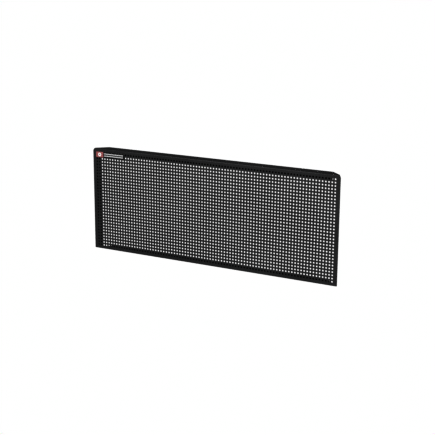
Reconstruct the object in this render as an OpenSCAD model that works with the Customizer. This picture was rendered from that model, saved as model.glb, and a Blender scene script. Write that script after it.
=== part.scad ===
// Perforated back panel: one sheet of steel, punched with a grid of square hook holes and folded
// back on all four sides, with a small badge at the top left of its front.
// X runs along the panel, Y from its front to its back, Z up. Millimetres.
// The origin is at the middle of the panel's length and depth, on the plane of its underside.

/* [Perforation] */
// Number of holes along the panel
hole_columns = 84; // [20:4:84]
// Number of holes up the panel
hole_rows = 32; // [12:1:32]
// Distance between hole centres
hole_pitch = 12; // [10:0.5:20]
// Side of a square hole
hole_side = 6; // [4:0.5:8]
// Plain margin from the end of the panel to the first hole's centre
margin_x = 18; // [14:1:40]
// Plain margin from the top or the bottom to the first hole's centre
margin_z = 15; // [12:1:40]

/* [Folded sheet] */
// Thickness of the steel sheet
sheet_t = 1.2; // [0.8:0.1:1.5]
// Outside radius of every fold
fold_r = 2.4; // [2:0.1:3]
// Depth from the front face to the back of the rear lips
depth = 48; // [40:1:80]
// Height of the lip that hangs from the back edge of the top flange
top_lip_h = 33; // [24:1:60]
// Height of the lip that stands on the back edge of the bottom flange
bottom_lip_h = 8; // [5:0.5:20]
// Depth that the side returns reach behind the front face
return_depth = 22; // [12:1:30]
// Angle between a side return and the front face
return_angle = 43; // [40:1:50]
// Width of the snip at each top corner
snip_w = 6; // [4:0.5:10]
// Height of the snip at each top corner
snip_h = 9; // [5:0.5:14]

/* [Fixing holes] */
// Diameter of the clearance holes for M6 screws
fixing_d = 6.6; // [5.5:0.1:9]
// Distance between the two outer fixing holes
outer_spacing = 880; // [200:10:900]
// Distance between the two inner fixing holes
inner_spacing = 300; // [60:10:400]
// Distance from the top of the panel down to the holes in the rear lip
lip_hole_drop = 18; // [12:1:24]
// Distance from the front face back to the holes in the bottom flange
flange_hole_y = 26; // [14:1:36]

/* [Corner welds] */
// Length of each fillet weld
weld_length = 16; // [6:1:20]
// Leg of each fillet weld
weld_leg = 2; // [1:0.5:3]
// Distance from the fold to the start of each weld
weld_start = 5; // [2:1:8]

/* [Badge] */
// Length of the badge plate
badge_w = 132; // [90:1:160]
// Height of the badge plate
badge_h = 24; // [16:1:30]
// Distance from the left end of the panel to the badge
badge_inset = 13; // [8:1:40]
// Distance from the top of the panel down to the badge
badge_drop = 10.5; // [8:0.5:60]
// Thickness of the badge plate
badge_t = 0.8; // [0.5:0.1:2]
// Length of the red tile
tile_w = 36; // [20:1:50]
// Border of the plate round the tile and the stripes
badge_border = 1; // [0.5:0.5:3]
// How far the tile, the ring and the stripes each stand proud of what carries them
relief = 0.3; // [0.2:0.1:0.6]
// Outside diameter of the ring on the tile
ring_d = 15; // [8:1:18]
// Inside diameter of the ring on the tile
ring_bore = 6; // [3:1:7]
// Length of the two stripes
stripe_w = 88; // [40:1:100]
// Height of each stripe
stripe_h = 4.5; // [2:0.5:6]
// Gap between the stripes
stripe_gap = 3.5; // [1:0.5:6]

/* [Hidden] */
face_sections = 4;                         // the flat front is drawn in this many equal stretches

panel_w = (hole_columns - 1) * hole_pitch + 2 * margin_x;
panel_h = (hole_rows - 1) * hole_pitch + 2 * margin_z;
badge_proud = badge_t + 2 * relief;
front_y = -(depth - badge_proud) / 2;      // puts the middle of the whole depth at Y = 0
inner_r = fold_r - sheet_t;
flat_half = panel_w / 2 - fold_r;          // where the flat front ends and a side fold starts
fold_turn = 180 - return_angle;            // how far a side fold turns

// Where the outside of a side return leaves its fold, measured from the front face
tangent_x = flat_half + fold_r * sin(return_angle);
tangent_y = fold_r * (1 + cos(return_angle));
// Half length of the flanges where they meet their rear lips
rear_half = tangent_x - (depth - tangent_y) / tan(return_angle);
// How far back the snips reach, which is where the mitred ends pass them
snip_depth = tangent_y + (tangent_x - panel_w / 2 + snip_w) * tan(return_angle);

black = [0.07, 0.07, 0.075];
red = [0.72, 0.12, 0.10];
pale = [0.86, 0.86, 0.86];
weld_grey = [0.10, 0.10, 0.105];
arc_fn = 64;
clear = 1;                                 // how far a cutting shape runs past what it cuts

// A quarter of a tube's section, centred on the origin, in the quadrant of -X and -Y
module fold_section() {
    intersection() {
        difference() {
            circle(r = fold_r, $fn = arc_fn);
            circle(r = inner_r, $fn = arc_fn);
        }
        translate([-fold_r, -fold_r]) square(fold_r);
    }
}

// Turns a section drawn in Y and Z into a bar along the whole panel
module along_panel() {
    translate([-panel_w / 2, 0, 0]) rotate([90, 0, 90]) linear_extrude(panel_w) children();
}

// Outline of the flanges seen from above: mitred along the outside of the side returns
module mitre_outline() {
    right_side = [[flat_half, 0], [flat_half, fold_r], [tangent_x, tangent_y], [rear_half, depth]];
    left_side = [for (i = [3:-1:0]) [-right_side[i][0], right_side[i][1]]];
    polygon(concat(right_side, left_side));
}

// Everything of a long folded bar that lies inside the mitred outline
module mitred() {
    intersection() {
        along_panel() children();
        linear_extrude(panel_h) mitre_outline();
    }
}

// Outline of what is snipped from the top corners, seen from the front
module snip_outline() {
    for (side = [-1, 1])
        polygon([[side * (panel_w / 2 - snip_w), panel_h],
                 [side * panel_w / 2, panel_h - snip_h],
                 [side * (panel_w / 2 + snip_w), panel_h],
                 [side * panel_w / 2, panel_h + snip_h]]);
}

// What is snipped from the folds at the top corners
module snips() {
    translate([0, snip_depth + clear, 0]) rotate([90, 0, 0])
        linear_extrude(snip_depth + 2 * clear) snip_outline();
}

// Pairs of holes along X, drilled along Z from the origin
module hole_pairs(spacings) {
    for (spacing = spacings, side = [-1, 1])
        translate([side * spacing / 2, 0, -clear])
            cylinder(d = fixing_d, h = sheet_t + 2 * clear, $fn = arc_fn);
}

// One column of square holes, standing on the middle of its lowest hole
module hole_column() {
    for (row = [0 : hole_rows - 1])
        translate([-hole_side / 2, row * hole_pitch - hole_side / 2]) square(hole_side);
}

// One stretch of the flat front, with its part of the grid, counted from 1 at the left.
// The stretches meet halfway between two columns, and only the outer two have a plain margin.
module perforated_face(section) {
    columns = hole_columns / face_sections;
    first = (section - 1) * columns;
    left = section == 1 ? -flat_half : (first - hole_columns / 2) * hole_pitch;
    right = section == face_sections ? flat_half : (first + columns - hole_columns / 2) * hole_pitch;
    color(black) translate([0, front_y + sheet_t, 0]) rotate([90, 0, 0])
        linear_extrude(sheet_t) difference() {
            translate([left, fold_r]) square([right - left, panel_h - 2 * fold_r]);
            snip_outline();
            for (column = [first : first + columns - 1])
                translate([(column - (hole_columns - 1) / 2) * hole_pitch, margin_z]) hole_column();
        }
}

// The top fold and the flange that runs back from it
module top_flange() {
    color(black) translate([0, front_y, 0]) difference() {
        mitred() {
            translate([fold_r, panel_h - fold_r]) mirror([0, 1]) fold_section();
            translate([fold_r, panel_h - sheet_t]) square([depth - 2 * fold_r, sheet_t]);
        }
        snips();
    }
}

// The rear fold of the top flange and the lip that hangs from it, with four fixing holes
module top_rear_lip() {
    color(black) translate([0, front_y, 0]) difference() {
        mitred() {
            translate([depth - fold_r, panel_h - fold_r]) rotate(180) fold_section();
            translate([depth - sheet_t, panel_h - top_lip_h]) square([sheet_t, top_lip_h - fold_r]);
        }
        translate([0, depth, panel_h - lip_hole_drop])
            rotate([90, 0, 0]) hole_pairs([outer_spacing, inner_spacing]);
    }
}

// The bottom fold and the flange that runs back from it, with two fixing holes
module bottom_flange() {
    color(black) translate([0, front_y, 0]) difference() {
        mitred() {
            translate([fold_r, fold_r]) fold_section();
            translate([fold_r, 0]) square([depth - 2 * fold_r, sheet_t]);
        }
        translate([0, flange_hole_y, 0]) hole_pairs([outer_spacing]);
    }
}

// The rear fold of the bottom flange and the short lip that stands on it
module bottom_rear_lip() {
    color(black) translate([0, front_y, 0]) mitred() {
        translate([depth - fold_r, fold_r]) mirror([1, 0]) fold_section();
        translate([depth - sheet_t, fold_r]) square([sheet_t, bottom_lip_h - fold_r]);
    }
}

// Section of a side fold and its return, seen from above, at the right end of the panel
module return_section() {
    translate([flat_half, fold_r]) {
        intersection() {
            difference() {
                circle(r = fold_r, $fn = arc_fn);
                circle(r = inner_r, $fn = arc_fn);
            }
            polygon([[0, 0], [0, -2 * fold_r], [2 * fold_r, -2 * fold_r], [2 * fold_r, 2 * fold_r],
                     2 * fold_r * [sin(return_angle), cos(return_angle)]]);
        }
        rotate(fold_turn) translate([0, -fold_r])
            square([(return_depth - tangent_y) / sin(return_angle), sheet_t]);
    }
}

// A side return: the sheet turned back and inwards behind the front
module side_return() {
    difference() {
        translate([0, 0, sheet_t]) linear_extrude(panel_h - 2 * sheet_t) return_section();
        snips();
    }
}

module right_side_return() {
    color(black) translate([0, front_y, 0]) side_return();
}

module left_side_return() {
    color(black) translate([0, front_y, 0]) mirror([1, 0, 0]) side_return();
}

// Fillet welds inside the four corners, between each side return and the flanges
module corner_welds() {
    color(weld_grey) translate([0, front_y, 0])
        for (side = [0, 1]) mirror([side, 0, 0])
            for (end = [0, 1]) translate([0, 0, end * panel_h]) mirror([0, 0, end])
                translate([flat_half, fold_r, sheet_t])
                    rotate(fold_turn) translate([weld_start, -inner_r, 0])
                        rotate([90, 0, 90]) linear_extrude(weld_length)
                            polygon([[0, 0], [weld_leg, 0], [0, weld_leg]]);
}

// A flat plate with rounded corners, standing on the plane Y = 0 and facing -Y,
// placed by its left and bottom edges
module round_plate(size, corner_r, thickness) {
    rotate([90, 0, 0]) linear_extrude(thickness) {
        translate([corner_r, 0]) square([size[0] - 2 * corner_r, size[1]]);
        translate([0, corner_r]) square([size[0], size[1] - 2 * corner_r]);
        for (x = [corner_r, size[0] - corner_r], z = [corner_r, size[1] - corner_r])
            translate([x, z]) circle(r = corner_r, $fn = arc_fn);
    }
}

// Moves its children to the badge's bottom left corner, a given height off the front face
module on_badge(height) {
    translate([-panel_w / 2 + badge_inset, front_y - height, panel_h - badge_drop - badge_h])
        children();
}

// The black plate that carries the badge and covers the holes behind it
module badge_plate() {
    color(black) on_badge(0) round_plate([badge_w, badge_h], 1.5, badge_t);
}

// The red tile at the left of the badge
module badge_tile() {
    color(red) on_badge(badge_t) translate([badge_border, 0, badge_border])
        round_plate([tile_w - 2 * badge_border, badge_h - 2 * badge_border], 1, relief);
}

// The plain ring on the tile
module badge_ring() {
    color(pale) on_badge(badge_t + relief) translate([tile_w / 2, 0, badge_h / 2])
        rotate([90, 0, 0]) difference() {
            cylinder(d = ring_d, h = relief, $fn = arc_fn);
            translate([0, 0, -clear]) cylinder(d = ring_bore, h = relief + 2 * clear, $fn = arc_fn);
        }
}

// The two plain stripes to the right of the tile
module badge_stripes() {
    color(pale) on_badge(badge_t)
        for (side = [-1, 1])
            translate([tile_w + 2 * badge_border, 0,
                       badge_h / 2 + side * (stripe_gap + stripe_h) / 2 - stripe_h / 2])
                round_plate([stripe_w, stripe_h], 1, relief);
}

perforated_face(1);  // perforated_face_1
perforated_face(2);  // perforated_face_2
perforated_face(3);  // perforated_face_3
perforated_face(4);  // perforated_face_4
top_flange();
top_rear_lip();
bottom_flange();
bottom_rear_lip();
left_side_return();
right_side_return();
corner_welds();
badge_plate();
badge_tile();
badge_ring();
badge_stripes();
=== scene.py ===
import math

import bmesh
import bpy
from mathutils import Matrix, Vector


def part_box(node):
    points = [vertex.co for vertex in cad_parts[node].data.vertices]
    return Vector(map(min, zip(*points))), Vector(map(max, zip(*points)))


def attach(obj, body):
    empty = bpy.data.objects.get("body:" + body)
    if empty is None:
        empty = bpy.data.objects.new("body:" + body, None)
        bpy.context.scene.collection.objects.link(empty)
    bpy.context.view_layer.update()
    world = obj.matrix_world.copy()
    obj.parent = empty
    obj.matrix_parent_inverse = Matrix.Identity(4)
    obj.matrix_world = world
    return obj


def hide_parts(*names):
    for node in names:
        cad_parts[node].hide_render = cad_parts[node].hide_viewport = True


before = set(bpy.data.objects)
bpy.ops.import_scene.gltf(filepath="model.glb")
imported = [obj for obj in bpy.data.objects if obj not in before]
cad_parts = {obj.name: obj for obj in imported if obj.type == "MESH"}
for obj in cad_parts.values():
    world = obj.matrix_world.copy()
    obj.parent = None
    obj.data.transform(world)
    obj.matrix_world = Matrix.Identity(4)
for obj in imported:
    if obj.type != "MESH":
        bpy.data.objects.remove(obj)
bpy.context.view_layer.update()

# Everything below is in metres, in the frame of the CAD model: X along the panel, Y from its front
# to its back, Z up.

# ---------------------------------------------------------------------------------------------
# Sizes, from the CAD nodes where they show there
# ---------------------------------------------------------------------------------------------

BODY = "root"
FACE_NODES = ["perforated_face_1", "perforated_face_2", "perforated_face_3", "perforated_face_4"]

face_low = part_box(FACE_NODES[0])[0]
face_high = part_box(FACE_NODES[-1])[1]
FRONT_Y = face_low.y
SHEET = face_high.y - face_low.y
FOLD_R = face_low.z
FLAT_HALF = face_high.x
HALF_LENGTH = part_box("right_side_return")[1].x
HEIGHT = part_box("top_flange")[1].z
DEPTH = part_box("top_rear_lip")[1].y - FRONT_Y
TOP_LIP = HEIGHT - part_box("top_rear_lip")[0].z
BOTTOM_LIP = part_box("bottom_rear_lip")[1].z
RETURN_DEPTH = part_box("right_side_return")[1].y - FRONT_Y

PITCH = 0.012           # between hook holes
HOLE = 0.006            # side of a hook hole
COLUMNS = 84
ROWS = 32
EDGE_ROUND = 0.0002     # the coat rounds every sheared edge to about this radius
HOLE_CORNER = 0.0007    # radius of a punched hole's corners
RETURN_ANGLE = math.radians(43)
SNIP_W = 0.006          # the snip at each top corner
SNIP_H = 0.009
FOLD_STEPS = 16         # facets round a quarter fold

FIXING_R = 0.0033
FIXING_CELL = 1.8 * FIXING_R    # half side of the square of faces round a fixing hole
OUTER_SPACING = 0.880
INNER_SPACING = 0.300
LIP_HOLE_DROP = 0.018
FLANGE_HOLE_Y = 0.026

# Where a side return leaves its fold, seen from above, and where the flanges' mitre ends
TANGENT_X = FLAT_HALF + FOLD_R * math.sin(RETURN_ANGLE)
TANGENT_Y = FOLD_R * (1 + math.cos(RETURN_ANGLE))

SAME = 1e-7             # two places closer than this are one
TONE_CONTRAST = 2.0     # display tone curve: whites stay white, darks go deeper

# ---------------------------------------------------------------------------------------------
# Materials
# ---------------------------------------------------------------------------------------------

class Nodes:
    """A small helper that builds one material's node tree."""

    def __init__(self, name):
        self.material = bpy.data.materials.new(name)
        self.material.use_nodes = True
        self.tree = self.material.node_tree
        self.tree.nodes.clear()
        self.output = self.add("ShaderNodeOutputMaterial")
        self.place = self.add("ShaderNodeTexCoord").outputs["Object"]

    def add(self, kind, settings=None, **inputs):
        node = self.tree.nodes.new(kind)
        for key, value in (settings or {}).items():
            setattr(node, key, value)
        for key, value in inputs.items():
            self.feed(node.inputs[key.replace("_", " ")], value)
        return node

    def feed(self, socket, value):
        if isinstance(value, bpy.types.NodeSocket):
            self.tree.links.new(value, socket)
        else:
            socket.default_value = value

    def noise(self, size, detail=2.0, roughness=0.5):
        """Noise whose features are about size metres across."""
        node = self.add("ShaderNodeTexNoise", Vector=self.place, Scale=1 / size,
                        Detail=detail, Roughness=roughness)
        return node.outputs["Fac"]

    def ramp(self, value, low, high, to_low, to_high):
        node = self.add("ShaderNodeMapRange", {"interpolation_type": "SMOOTHSTEP"}, Value=value)
        for key, number in (("From Min", low), ("From Max", high),
                            ("To Min", to_low), ("To Max", to_high)):
            node.inputs[key].default_value = number
        return node.outputs["Result"]

    def math(self, operation, a, b):
        node = self.add("ShaderNodeMath", {"operation": operation})
        self.feed(node.inputs[0], a)
        self.feed(node.inputs[1], b)
        return node.outputs["Value"]

    def blend(self, factor, a, b):
        node = self.add("ShaderNodeMix", {"data_type": "RGBA"})
        self.feed(node.inputs["Factor"], factor)
        self.feed(node.inputs["A"], a)
        self.feed(node.inputs["B"], b)
        return node.outputs["Result"]

    def bump(self, height, strength, distance, under=None):
        node = self.add("ShaderNodeBump", Height=height, Strength=strength, Distance=distance)
        if under is not None:
            self.feed(node.inputs["Normal"], under)
        return node.outputs["Normal"]

    def surface(self, **inputs):
        shader = self.add("ShaderNodeBsdfPrincipled", **inputs)
        self.tree.links.new(shader.outputs["BSDF"], self.output.inputs["Surface"])
        return self.material


def grey(level, warm=0.0):
    return (level * (1 + warm), level, level * (1 - warm), 1.0)


def powder_coat(name, dark, light, smooth, rough):
    """Black powder coat: a fine leathery texture, thinner and a little shinier on edges.

    dark and light are its tones, smooth and rough the ends of its roughness.
    """
    grain_size, peel_size, streak_size, cloud_size = 0.0007, 0.0026, 0.03, 0.16
    n = Nodes(name)
    grain = n.noise(grain_size, detail=3.0, roughness=0.6)
    peel = n.noise(peel_size, detail=2.0)
    cloud = n.noise(cloud_size, detail=3.0)
    streak = n.noise(streak_size, detail=4.0, roughness=0.65)
    edge = n.add("ShaderNodeAttribute", {"attribute_name": "edge"}).outputs["Fac"]
    tone = n.blend(n.ramp(cloud, 0.3, 0.7, 0.0, 1.0), grey(dark, -0.015), grey(light, -0.015))
    tone = n.blend(n.ramp(grain, 0.42, 0.70, 0.0, 0.7), tone, grey(light * 1.8, -0.02))
    thin = n.math("MULTIPLY", edge, n.ramp(streak, 0.35, 0.65, 0.25, 0.8))
    tone = n.blend(thin, tone, grey(light * 2.2, -0.01))
    gloss = n.ramp(n.math("ADD", n.math("MULTIPLY", grain, 0.6), n.math("MULTIPLY", streak, 0.4)),
                   0.3, 0.7, smooth, rough)
    gloss = n.math("SUBTRACT", gloss, n.math("MULTIPLY", edge, 0.06))
    normal = n.bump(peel, 0.45, 0.00008)
    normal = n.bump(grain, 0.50, 0.000025, normal)
    shader = {"Base_Color": tone, "Roughness": gloss, "Normal": normal}
    return n.surface(IOR=1.5, Specular_IOR_Level=0.38, **shader)


def badge_film(name, dark, light, roughness, lacquer):
    """Printed and lacquered plastic: an even colour with a faint mottle and a soft lacquer, and
    painted shade that darkens its rounded edges.
    """
    mottle_size, drift_size = 0.0004, 0.012
    n = Nodes(name)
    mottle = n.noise(mottle_size, detail=2.0)
    drift = n.noise(drift_size, detail=2.0)
    level = n.math("ADD", n.math("MULTIPLY", mottle, 0.5), n.math("MULTIPLY", drift, 0.5))
    tone = n.blend(n.ramp(level, 0.35, 0.65, 0.0, 1.0), dark, light)
    edge = n.add("ShaderNodeAttribute", {"attribute_name": "edge"}).outputs["Fac"]
    # painted shade: the rounded edges are blended towards a darker copy of the film's tone
    painted_edge_shade = tuple(0.6 * c for c in dark[:3]) + (1.0,)
    tone = n.blend(n.math("MULTIPLY", edge, 0.35), tone, painted_edge_shade)
    gloss = n.ramp(drift, 0.3, 0.7, roughness, roughness + 0.1)
    normal = n.bump(drift, 0.08, 0.0002)
    normal = n.bump(mottle, 0.05, 0.00002, normal)
    return n.surface(Base_Color=tone, Roughness=gloss, Normal=normal, IOR=1.5,
                     Specular_IOR_Level=0.5, Coat_Weight=lacquer, Coat_Roughness=0.15)


def studio_white(name, level):
    """A flat white that is its own light, for the floor and the backdrop."""
    n = Nodes(name)
    return n.surface(Base_Color=grey(0.0), Roughness=1.0, Specular_IOR_Level=0.0,
                     Emission_Color=grey(1.0), Emission_Strength=level)


coat = powder_coat("black_powder_coat", 0.014, 0.021, 0.43, 0.62)
weld_coat = powder_coat("weld_powder_coat", 0.016, 0.023, 0.33, 0.46)
film_black = badge_film("badge_black", grey(0.006), grey(0.009), 0.34, 0.0)
film_red = badge_film("badge_red", (0.17, 0.076, 0.075, 1.0), (0.19, 0.084, 0.083, 1.0),
                      0.32, 0.2)
film_white = badge_film("badge_white", grey(0.33), grey(0.355), 0.36, 0.2)
film_silver = badge_film("badge_silver", grey(0.22), grey(0.245), 0.36, 0.2)


# ---------------------------------------------------------------------------------------------
# Sheet metal
# ---------------------------------------------------------------------------------------------

# How a sheared edge is softened, from the outer surface down: for each ring of points, how far
# inwards from the outline and how deep, as shares of the edge radius
ROUNDED = [(1.0, 0.0), (1 - math.sqrt(0.5), 1 - math.sqrt(0.5)), (0.0, 1.0)]
EASED = [(1.0, 0.0), (0.0, 1.0)]


def unit(a, b):
    x, y = b[0] - a[0], b[1] - a[1]
    length = math.hypot(x, y)
    return (x / length, y / length)


def inset_of(before, here, after, free_before, free_after):
    """How a corner of an outline moves when its free edges are set in by 1.

    The outline runs counterclockwise, so the inside is on the left. An edge that isn't free stays.
    """
    into, out = unit(before, here), unit(here, after)
    n1, n2 = (-into[1], into[0]), (-out[1], out[0])
    if free_before and free_after:
        scale = 1 / max(0.3, 1 + n1[0] * n2[0] + n1[1] * n2[1])
        return ((n1[0] + n2[0]) * scale, (n1[1] + n2[1]) * scale)
    if free_before:
        scale = 1 / (out[0] * n1[0] + out[1] * n1[1])
        return (out[0] * scale, out[1] * scale)
    if free_after:
        scale = -1 / (into[0] * n2[0] + into[1] * n2[1])
        return (-into[0] * scale, -into[1] * scale)
    return (0.0, 0.0)


def sheet_piece(name, points, faces, thickness, place, is_seam=None, is_curved=None,
                edge_round=EDGE_ROUND, profile=ROUNDED):
    """A piece of sheet with rounded edges, from a flat pattern of points and counterclockwise faces.

    place(u, v, depth) gives the 3D point under the pattern's point (u, v), depth below the outer
    surface. is_seam(a, b) tells an edge of the outline that meets another piece, which stays square.
    is_curved(face) tells a face that lies in a fold, which is shaded smooth.
    """
    edges = {(f[i - 1], f[i]) for f in faces for i in range(len(f))}
    rim = sorted((a, b) for a, b in edges if (b, a) not in edges)
    after = dict(rim)
    before = {b: a for a, b in rim}
    free = {(a, b): not (is_seam and is_seam(points[a], points[b])) for a, b in rim}
    moved = list(points)
    inset = {}
    for here in sorted(after):
        back, on = before[here], after[here]
        inset[here] = inset_of(points[back], points[here], points[on],
                               free[(back, here)], free[(here, on)])
    levels = [(share * edge_round, deep * edge_round) for share, deep in profile]
    levels += [(share, thickness - deep) for share, deep in reversed(levels)]

    def level_point(here, level):
        share, deep = levels[level]
        u, v = points[here]
        return place(u + inset[here][0] * share, v + inset[here][1] * share, deep)

    for here in inset:
        u, v = points[here]
        moved[here] = (u + inset[here][0] * edge_round, v + inset[here][1] * edge_round)
    verts = [place(u, v, 0.0) for u, v in moved] + [place(u, v, thickness) for u, v in moved]
    count = len(points)
    last = len(levels) - 1
    rings = {here: {0: here, last: here + count} for here in inset}
    for here in sorted(inset):
        for level in range(1, last):
            rings[here][level] = len(verts)
            verts.append(level_point(here, level))
    polygons = [tuple(f) for f in faces] + [tuple(count + i for i in reversed(f)) for f in faces]
    smooth = [bool(is_curved and is_curved([points[i] for i in f])) for f in faces] * 2
    for a, b in rim:
        for level in range(last):
            polygons.append((rings[b][level], rings[a][level],
                             rings[a][level + 1], rings[b][level + 1]))
            smooth.append(free[(a, b)])
    edge_marks = [0.0] * (2 * count) + [1.0] * (len(verts) - 2 * count)
    return piece(name, verts, polygons, smooth, edge_marks)


def piece(name, verts, polygons, smooth, edge_marks=None):
    """A mesh object with its faces turned outwards, and a sharp edge round every flat-shaded face."""
    mesh = bpy.data.meshes.new(name)
    mesh.from_pydata(verts, [], polygons)
    mesh.polygons.foreach_set("use_smooth", smooth)
    marks = mesh.attributes.new("edge", "FLOAT", "POINT")
    marks.data.foreach_set("value", edge_marks or [0.0] * len(verts))
    work = bmesh.new()
    work.from_mesh(mesh)
    bmesh.ops.recalc_face_normals(work, faces=work.faces)
    for edge in work.edges:
        edge.smooth = all(face.smooth for face in edge.link_faces)
    work.to_mesh(mesh)
    work.free()
    obj = bpy.data.objects.new(name, mesh)
    bpy.context.scene.collection.objects.link(obj)
    return obj


def finish_piece(obj, material, slot, *nodes):
    obj.data.materials.append(material)
    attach(obj, BODY)
    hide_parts(*nodes)


def square_hole(cu, cv):
    """A hook hole's points, three for each corner, counterclockwise from its lower side's left end."""
    h, c = HOLE / 2, HOLE / 2 - HOLE_CORNER
    m = c + HOLE_CORNER * math.sqrt(0.5)
    side = [(-c, -h), (c, -h), (m, -m)]
    turns = [(1, 0, 0, 1), (0, -1, 1, 0), (-1, 0, 0, -1), (0, 1, -1, 0)]
    return [(cu + a * u + b * v, cv + d * u + e * v) for a, b, d, e in turns for u, v in side]


def round_hole(cu, cv, radius, sides=32):
    """A round hole's points, counterclockwise, starting where the lower side of its cell does."""
    start = math.radians(225)
    return [(cu + radius * math.cos(start + 2 * math.pi * i / sides),
             cv + radius * math.sin(start + 2 * math.pi * i / sides)) for i in range(sides)]


class Pattern:
    """A flat pattern on a grid of lines, whose cells can hold a hole."""

    def __init__(self):
        self.points = []
        self.faces = []
        self.index = {}

    def point(self, u, v):
        key = (round(u, 7), round(v, 7))
        if key not in self.index:
            self.index[key] = len(self.points)
            self.points.append((u, v))
        return self.index[key]

    def cell(self, corners, hole=None):
        """A cell, corners counterclockwise from the lower left. A hole's points start near it."""
        ring = [self.point(*c) for c in corners]
        if not hole:
            self.faces.append(ring)
            return
        inner = [self.point(*h) for h in hole]
        quarter = len(inner) // 4
        # A square hole's side faces the cell's side, and a round one's middle point does
        first, last = (0, 1) if quarter == 3 else (quarter // 2, quarter // 2)
        for side in range(4):
            here, there = ring[side], ring[(side + 1) % 4]
            facing = [inner[(side * quarter + i) % len(inner)] for i in range(quarter + 1)]
            self.faces.append([here, there] + facing[first:last + 1][::-1])
            for i in range(quarter):
                if i < first:
                    self.faces.append([here, facing[i + 1], facing[i]])
                elif i >= last:
                    self.faces.append([there, facing[i + 1], facing[i]])


def snip_x(z):
    """How far along X the sheet reaches beside a top corner's snip."""
    return HALF_LENGTH - SNIP_W + (HEIGHT - z) * SNIP_W / SNIP_H


def snip_z(x):
    """How far up the sheet reaches beside a top corner's snip."""
    return HEIGHT - (x - HALF_LENGTH + SNIP_W) * SNIP_H / SNIP_W


def mitre_x(y_in):
    """Half length of a flange at a distance behind the front face."""
    if y_in <= FOLD_R:
        return FLAT_HALF
    if y_in <= TANGENT_Y:
        return FLAT_HALF + (TANGENT_X - FLAT_HALF) * (y_in - FOLD_R) / (TANGENT_Y - FOLD_R)
    return TANGENT_X - (y_in - TANGENT_Y) / math.tan(RETURN_ANGLE)


class Fold:
    """The outer surface of a folded strip in section: arcs of FOLD_R and straight runs."""

    def __init__(self, start, heading, outward, runs):
        self.parts = []
        self.stops = [0.0]
        at, ahead, out = Vector(start), Vector(heading), Vector(outward)
        for kind, amount in runs:
            length = amount * FOLD_R if kind == "arc" else amount
            self.parts.append((kind, self.stops[-1], length, at.copy(), ahead.copy(), out.copy()))
            self.stops.append(self.stops[-1] + length)
            at, ahead, out = self.state(self.parts[-1], length)

    @staticmethod
    def state(part, run):
        kind, _, _, at, ahead, out = part
        if kind == "flat":
            return at + ahead * run, ahead, out
        turn = run / FOLD_R
        centre = at - out * FOLD_R
        new_out = out * math.cos(turn) + ahead * math.sin(turn)
        new_ahead = ahead * math.cos(turn) - out * math.sin(turn)
        return centre + new_out * FOLD_R, new_ahead, new_out

    def at(self, s, depth=0.0):
        """The section's point a developed length s from its start, depth below the outer surface."""
        part = self.parts[0]
        for candidate in self.parts:
            if s >= candidate[1] - 1e-9:
                part = candidate
        point, _, out = self.state(part, s - part[1])
        return point - out * depth

    def curved(self, s):
        """Is a developed length s inside an arc?"""
        return any(kind == "arc" and first < s < first + length
                   for kind, first, length, *_ in self.parts)

    def lines(self, first, last, extra=()):
        """The developed lengths at which the strip needs a line of points, from part first to last."""
        found = set(extra)
        for kind, begin, length, *_ in self.parts[first:last]:
            steps = max(1, round(FOLD_STEPS * length / (FOLD_R * math.pi / 2))) if kind == "arc" else 1
            found |= {begin + length * i / steps for i in range(steps + 1)}
        # Rounded, so that an arc's end and the next run's start are one line
        return sorted({round(stop, 9) for stop in found})


def strip(name, section, first, last, end_of, holes_at, extra=()):
    """A folded strip along X: parts first to last of the section, with ends given by end_of(y, z).

    holes_at gives each fixing hole's place along X and along the developed section.
    """
    pattern = Pattern()
    rows = section.lines(first, last, extra)
    # Every row is divided at the same places, so that rows meet along whole edges
    sides = [h + side * FIXING_CELL for h, _ in holes_at for side in (-1, 1)]
    lines = [None] + sides + [None]
    for low, high in zip(rows, rows[1:]):
        ends = [end_of(*section.at(s)) for s in (low, high)]
        for left, right in zip(lines, lines[1:]):
            low_left, high_left = (-ends[0], -ends[1]) if left is None else (left, left)
            low_right, high_right = ends if right is None else (right, right)
            corners = [(low_left, low), (low_right, low), (high_right, high), (high_left, high)]
            inside = [(h, s) for h, s in holes_at
                      if low < s < high and corners[0][0] < h < corners[1][0]]
            pattern.cell(corners, round_hole(*inside[0], FIXING_R) if inside else None)

    def place(u, v, depth):
        y, z = section.at(v, depth)
        return (u, y, z)

    def is_seam(a, b):
        for stop in section.stops[first], section.stops[last]:
            if abs(a[1] - stop) < SAME and abs(b[1] - stop) < SAME:
                return stop < section.stops[-1] - SAME
        return False

    def is_curved(corners):
        return section.curved(sum(c[1] for c in corners) / len(corners))

    return sheet_piece(name, pattern.points, pattern.faces, SHEET, place, is_seam, is_curved)


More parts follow.
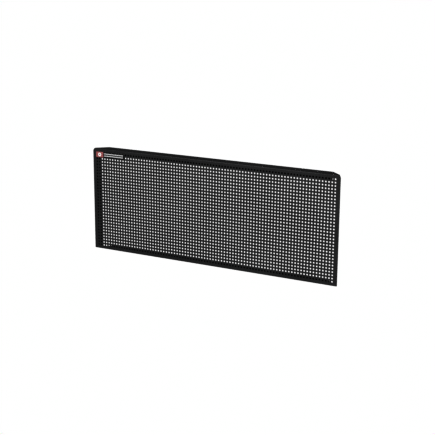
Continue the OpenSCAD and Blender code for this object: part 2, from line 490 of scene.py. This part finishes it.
def perforated_front(number):
    """One stretch of the flat front with its grid of square holes, in the place of its CAD node."""
    columns = COLUMNS // len(FACE_NODES)
    first_x = (number * columns - COLUMNS / 2) * PITCH
    first_z = HEIGHT / 2 - ROWS / 2 * PITCH
    snip_line_x = snip_x(HEIGHT - FOLD_R)
    xs = [first_x + i * PITCH for i in range(columns + 1)]
    if number == 0:
        xs = [-FLAT_HALF, -snip_line_x] + xs
    if number == len(FACE_NODES) - 1:
        xs += [snip_line_x, FLAT_HALF]
    zs = [FOLD_R] + [first_z + i * PITCH for i in range(ROWS + 1)]
    zs += [snip_z(FLAT_HALF), HEIGHT - FOLD_R]
    pattern = Pattern()
    for left, right in zip(xs, xs[1:]):
        for j, (low, high) in enumerate(zip(zs, zs[1:])):
            corners = [(left, low), (right, low), (right, high), (left, high)]
            outer = max(-left, right) > FLAT_HALF - SAME
            if outer and j == len(zs) - 2:
                corners.pop(2 if right > 0 else 3)    # the snip cuts this cell to a triangle
            in_grid = -COLUMNS / 2 * PITCH - SAME < left < COLUMNS / 2 * PITCH - SAME
            if in_grid and 1 <= j < 1 + ROWS:
                pattern.cell(corners, square_hole((left + right) / 2, (low + high) / 2))
            else:
                pattern.cell(corners)

    def is_seam(a, b):
        level = abs(a[1] - b[1]) < SAME
        upright = abs(a[0] - b[0]) < SAME
        at_fold = a[1] < FOLD_R + SAME or a[1] > HEIGHT - FOLD_R - SAME
        at_side = a[0] < xs[0] + SAME or a[0] > xs[-1] - SAME
        return (level and at_fold) or (upright and at_side)

    def place(u, v, depth):
        return (u, FRONT_Y + depth, v)

    obj = sheet_piece("perforated_front_%d" % (number + 1), pattern.points, pattern.faces, SHEET,
                      place, is_seam, profile=EASED)
    finish_piece(obj, coat, "black_powder_coat", FACE_NODES[number])


def flanges():
    """The top and bottom folds and flanges, and the lips on their back edges."""
    quarter = math.pi / 2
    top = Fold((FRONT_Y, HEIGHT - FOLD_R), (0, 1), (-1, 0),
               [("arc", quarter), ("flat", DEPTH - 2 * FOLD_R), ("arc", quarter),
                ("flat", TOP_LIP - FOLD_R)])
    bottom = Fold((FRONT_Y, FOLD_R), (0, -1), (-1, 0),
                  [("arc", quarter), ("flat", DEPTH - 2 * FOLD_R), ("arc", quarter),
                   ("flat", BOTTOM_LIP - FOLD_R)])

    def top_end(y, z):
        return min(mitre_x(y - FRONT_Y), snip_x(z))

    def bottom_end(y, z):
        return mitre_x(y - FRONT_Y)

    pairs = [side * spacing / 2 for spacing in (OUTER_SPACING, INNER_SPACING) for side in (-1, 1)]
    lip_row = top.stops[3] + LIP_HOLE_DROP - FOLD_R
    flange_row = bottom.stops[1] + FLANGE_HOLE_Y - FOLD_R
    snip_end = top.stops[1] + TANGENT_Y - FOLD_R
    snip_end += (TANGENT_X - HALF_LENGTH + SNIP_W) * math.tan(RETURN_ANGLE)
    mitre_start = TANGENT_Y - FOLD_R
    parts = [
        ("top_flange", top, 0, 2, top_end, [], (snip_end,)),
        ("top_rear_lip", top, 2, 4, top_end, [(x, lip_row) for x in sorted(pairs)],
         (lip_row - FIXING_CELL, lip_row + FIXING_CELL)),
        ("bottom_flange", bottom, 0, 2, bottom_end, [(x, flange_row) for x in sorted(pairs[:2])],
         (bottom.stops[1] + mitre_start, flange_row - FIXING_CELL, flange_row + FIXING_CELL)),
        ("bottom_rear_lip", bottom, 2, 4, bottom_end, [], ()),
    ]
    for name, section, first, last, end_of, holes_at, extra in parts:
        obj = strip(name + "_sheet", section, first, last, end_of, holes_at, extra)
        finish_piece(obj, coat, "black_powder_coat", name)


def side_returns():
    """The side folds, each turned back and inwards behind the front."""
    turn = math.pi - RETURN_ANGLE
    leaf = (RETURN_DEPTH - TANGENT_Y) / math.sin(RETURN_ANGLE)
    for side, name in ((-1, "left_side_return"), (1, "right_side_return")):
        section = Fold((FLAT_HALF, FRONT_Y), (1, 0), (0, -1), [("arc", turn), ("flat", leaf)])
        snip_stop = section.stops[1] + (TANGENT_X - HALF_LENGTH + SNIP_W) / math.cos(RETURN_ANGLE)
        pattern = Pattern()
        columns = section.lines(0, 2, (snip_stop,))
        for near, far in zip(columns, columns[1:]):
            tops = [min(HEIGHT - SHEET, snip_z(section.at(s).x)) for s in (near, far)]
            pattern.cell([(near, SHEET), (far, SHEET), (far, tops[1]), (near, tops[0])])

        def place(u, v, depth, side=side, section=section):
            x, y = section.at(u, depth)
            return (side * x, y, v)

        def is_seam(a, b):
            return abs(a[0]) < SAME and abs(b[0]) < SAME

        def is_curved(corners, section=section):
            return section.curved(sum(c[0] for c in corners) / len(corners))

        obj = sheet_piece(name + "_sheet", pattern.points, pattern.faces, SHEET, place,
                          is_seam, is_curved)
        finish_piece(obj, coat, "black_powder_coat", name)


# ---------------------------------------------------------------------------------------------
# Welds and badge
# ---------------------------------------------------------------------------------------------

def corner_welds():
    """A rippled fillet bead inside each corner, between a side return and a flange."""
    weld_length, weld_leg, weld_start = 0.016, 0.002, 0.005
    ripple_depth, end_bluntness, hollow, thinnest = 0.10, 8, 0.28, 0.05
    ripples, steps, across = 9, 72, 6
    verts, polygons = [], []
    along = Vector((-math.cos(RETURN_ANGLE), math.sin(RETURN_ANGLE), 0))
    inward = Vector((-math.sin(RETURN_ANGLE), -math.cos(RETURN_ANGLE), 0))
    root = Vector((FLAT_HALF, FRONT_Y + FOLD_R, 0)) - inward * (FOLD_R - SHEET)
    for side in (-1, 1):
        for top in (False, True):
            first = len(verts)
            for i in range(steps + 1):
                t = i / steps
                ripple = 1 - ripple_depth + ripple_depth * abs(math.sin(math.pi * ripples * t))
                taper = math.sqrt(max(0.0, 1 - (2 * t - 1) ** end_bluntness))
                leg = weld_leg * max(thinnest, ripple * taper)
                base = root + along * (weld_start + weld_length * t)
                for k in range(across + 1):
                    angle = math.pi / 2 * k / across
                    belly = leg * (1 - hollow * math.sin(2 * angle))
                    point = base + inward * (belly * math.cos(angle))
                    up = SHEET + belly * math.sin(angle)
                    verts.append((side * point.x, point.y, HEIGHT - up if top else up))
                verts.append((side * base.x, base.y, HEIGHT - SHEET if top else SHEET))
            ring = across + 2
            for i in range(steps):
                for k in range(ring):
                    a, b = first + i * ring + k, first + i * ring + (k + 1) % ring
                    polygons.append((a, b, b + ring, a + ring))
            polygons.append(tuple(first + k for k in range(ring)))
            polygons.append(tuple(first + steps * ring + k for k in reversed(range(ring))))
    obj = piece("corner_weld_beads", verts, polygons, [len(p) == 4 for p in polygons])
    finish_piece(obj, weld_coat, "weld_under_coat", "corner_welds")


def rounded_outline(low, high, radius, steps=8):
    """The outline of a rectangle with round corners, counterclockwise."""
    out = []
    corners = [(high[0] - radius, low[1] + radius, -90), (high[0] - radius, high[1] - radius, 0),
               (low[0] + radius, high[1] - radius, 90), (low[0] + radius, low[1] + radius, 180)]
    for cu, cv, start in corners:
        for i in range(steps + 1):
            angle = math.radians(start + 90 * i / steps)
            out.append((cu + radius * math.cos(angle), cv + radius * math.sin(angle)))
    return out


def plate_pieces(name, outlines, node, material, slot, edge_round):
    """Flat plates that face -Y, in the place of a CAD node: its depth comes from the node's box."""
    low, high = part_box(node)
    points, faces = [], []
    for outline in outlines:
        faces.append([len(points) + i for i in range(len(outline))])
        points += outline

    def place(u, v, depth):
        return (u, low.y + depth, v)

    obj = sheet_piece(name, points, faces, high.y - low.y, place, edge_round=edge_round)
    finish_piece(obj, material, slot, node)


def badge():
    """The blank badge: a black plate, a red tile with a plain ring, and two plain stripes."""
    low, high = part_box("badge_plate")
    plate_pieces("badge_carrier", [rounded_outline((low.x, low.z), (high.x, high.z), 0.0015)],
                 "badge_plate", film_black, "badge_black", 0.00025)
    low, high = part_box("badge_tile")
    plate_pieces("badge_red_tile", [rounded_outline((low.x, low.z), (high.x, high.z), 0.001)],
                 "badge_tile", film_red, "badge_red", 0.0001)
    low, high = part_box("badge_stripes")
    stripe_h = 0.0045
    stripes = [rounded_outline((low.x, z), (high.x, z + stripe_h), 0.001)
               for z in (low.z, high.z - stripe_h)]
    plate_pieces("badge_pale_stripes", stripes, "badge_stripes", film_silver, "badge_pale", 0.0001)
    ring()


def ring():
    """The plain raised ring on the red tile."""
    low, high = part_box("badge_ring")
    cx, cz = (low.x + high.x) / 2, (low.z + high.z) / 2
    outer, inner, sides = (high.x - low.x) / 2, 0.003, 64
    turns = [2 * math.pi * i / sides for i in range(sides)]
    points = [(cx + r * math.cos(t), cz + r * math.sin(t)) for r in (outer, inner) for t in turns]
    faces = [[i, (i + 1) % sides, sides + (i + 1) % sides, sides + i] for i in range(sides)]

    def place(u, v, depth):
        return (u, low.y + depth, v)

    obj = sheet_piece("badge_pale_ring", points, faces, high.y - low.y, place, edge_round=0.0001)
    finish_piece(obj, film_white, "badge_pale", "badge_ring")


for stretch in range(len(FACE_NODES)):
    perforated_front(stretch)
flanges()
side_returns()
corner_welds()
badge()


# ---------------------------------------------------------------------------------------------
# Studio
# ---------------------------------------------------------------------------------------------

def unseen_by_light(obj):
    """Only the camera sees this, so it adds no light or reflection to the object."""
    obj.visible_diffuse = False
    obj.visible_glossy = False
    obj.visible_transmission = False
    obj.visible_shadow = False
    obj.visible_volume_scatter = False


def studio():
    """A plain white floor and a white backdrop all round."""
    white = studio_white("studio_white", 1.0)
    reach = 9.0
    bpy.ops.mesh.primitive_circle_add(vertices=96, radius=reach, fill_type="NGON",
                                      location=(0, 0, -0.0003))
    floor = bpy.context.object
    floor.name = "floor"
    bpy.ops.mesh.primitive_uv_sphere_add(segments=48, ring_count=24, radius=reach)
    backdrop = bpy.context.object
    backdrop.name = "backdrop"
    for obj in (floor, backdrop):
        obj.data.materials.append(white)
        unseen_by_light(obj)


def softbox(name, place, target, size, power, reflects=True):
    """A rectangular area light, turned towards a point. A fill light doesn't show in reflections."""
    light = bpy.data.lights.new(name, "AREA")
    light.shape = "RECTANGLE"
    light.size, light.size_y = size
    light.energy = power
    obj = bpy.data.objects.new(name, light)
    bpy.context.scene.collection.objects.link(obj)
    obj.location = place
    obj.rotation_euler = (Vector(target) - Vector(place)).to_track_quat("-Z", "Y").to_euler()
    obj.visible_glossy = reflects


def surround(bright, dim):
    """Soft light from every side, bright from the front and the right and dim from behind."""
    world = bpy.data.worlds.new("studio_surround")
    bpy.context.scene.world = world
    world.use_nodes = True
    tree = world.node_tree
    tree.nodes.clear()
    output = tree.nodes.new("ShaderNodeOutputWorld")
    background = tree.nodes.new("ShaderNodeBackground")
    direction = tree.nodes.new("ShaderNodeTexCoord")
    facing = tree.nodes.new("ShaderNodeVectorMath")
    facing.operation = "DOT_PRODUCT"
    facing.inputs[1].default_value = (0.6, -0.8, 0.0)
    level = tree.nodes.new("ShaderNodeMapRange")
    level.interpolation_type = "SMOOTHSTEP"
    for key, value in (("From Min", -0.4), ("From Max", 0.9), ("To Min", dim), ("To Max", bright)):
        level.inputs[key].default_value = value
    tree.links.new(direction.outputs["Generated"], facing.inputs[0])
    tree.links.new(facing.outputs["Value"], level.inputs["Value"])
    tree.links.new(level.outputs["Result"], background.inputs["Strength"])
    tree.links.new(background.outputs["Background"], output.inputs["Surface"])


def lighting():
    """Plain studio light: a soft surround, a softbox in front, and fill lights right and behind."""
    middle = (0, 0, HEIGHT / 2)
    surround(1.35, 0.18)
    softbox("front_softbox", (-0.95, -1.95, 2.35), middle, (2.8, 1.2), 185)
    softbox("right_fill", (2.6, -2.2, 0.9), middle, (1.8, 1.8), 210, reflects=False)
    softbox("rear_fill", (0.2, 3.2, 1.0), middle, (2.4, 1.8), 420, reflects=False)


def camera():
    """The viewpoint, by its direction and distance from a point on the front."""
    azimuth, elevation, roll = math.radians(28.13), math.radians(14.33), math.radians(0.40)
    distance = 3.8365
    target = Vector((0.03625, FRONT_Y, HEIGHT / 2 - 0.00894))
    back = Vector((math.sin(azimuth) * math.cos(elevation),
                   -math.cos(azimuth) * math.cos(elevation), math.sin(elevation)))
    data = bpy.data.cameras.new("camera")
    data.sensor_width = 36.0
    data.lens = 85.64
    obj = bpy.data.objects.new("camera", data)
    bpy.context.scene.collection.objects.link(obj)
    turned = (-back).to_track_quat("-Z", "Y").to_matrix() @ Matrix.Rotation(roll, 3, "Z")
    obj.matrix_world = Matrix.Translation(target + back * distance) @ turned.to_4x4()
    bpy.context.scene.camera = obj


studio()
lighting()
camera()
bpy.context.scene.view_settings.view_transform = "Standard"
bpy.context.scene.view_settings.gamma = 1 / TONE_CONTRAST
